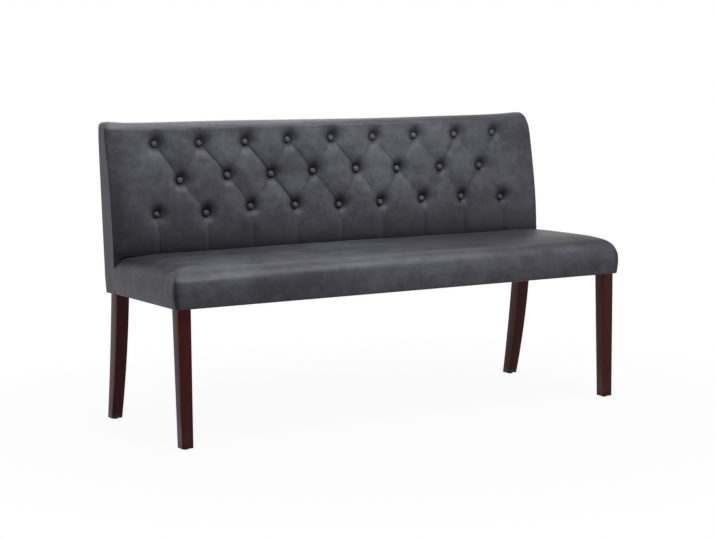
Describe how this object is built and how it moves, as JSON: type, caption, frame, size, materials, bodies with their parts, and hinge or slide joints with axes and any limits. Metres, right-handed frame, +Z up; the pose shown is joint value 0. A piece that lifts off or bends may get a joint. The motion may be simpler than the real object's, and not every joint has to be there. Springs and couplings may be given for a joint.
{
  "type": "upholstered bench",
  "caption": "Upholstered bench with a diamond-tufted buttoned back, a padded seat and dark stained wooden legs",
  "frame": {"origin": "on the floor, under the middle of the bench's overall box", "axes": "+X along the bench to the right as seen from the front, +Y to the rear, +Z up"},
  "size_m": [1.5, 0.58, 0.895],
  "materials": {
    "upholstery": "matt slate-grey coated fabric with a soft grain",
    "stained_wood": "dark red-brown stain under satin lacquer",
    "frame_wood": "bare planed hardwood",
    "board": "bare plywood",
    "zinc_steel": "zinc-plated steel",
    "glide_plastic": "dull moulded plastic",
    "toggle_plastic": "plain moulded plastic",
    "foam": "open-cell cushion foam",
    "wadding": "bonded polyester wadding",
    "strap_cloth": "woven elastic webbing",
    "dust_cloth": "black bonded cloth",
    "twine": "waxed button twine"
  },
  "bodies": {
    "root": {"front_leg_left": "stained_wood", "front_leg_right": "stained_wood", "rear_leg_left": "stained_wood", "rear_leg_right": "stained_wood", "foot_glides": "glide_plastic", "front_rail": "frame_wood", "rear_rail": "frame_wood", "side_rail_left": "frame_wood", "side_rail_right": "frame_wood", "cross_rails": "frame_wood", "corner_blocks": "frame_wood", "leg_bolts": "zinc_steel", "leg_bolt_washers": "zinc_steel", "frame_dowels": "frame_wood", "seat_webbing": "strap_cloth", "seat_foam": "foam", "seat_wadding": "wadding", "seat_cover": "upholstery", "dust_cover": "dust_cloth", "back_top_rail": "frame_wood", "back_lower_rail": "frame_wood", "back_uprights": "frame_wood", "tuft_panel": "board", "rear_panel": "board", "panel_screws": "zinc_steel", "back_foam": "foam", "back_wadding": "wadding", "back_cover": "upholstery", "tuft_buttons": "upholstery", "button_twines": "twine", "button_toggles": "toggle_plastic"}
  },
  "joints": []
}
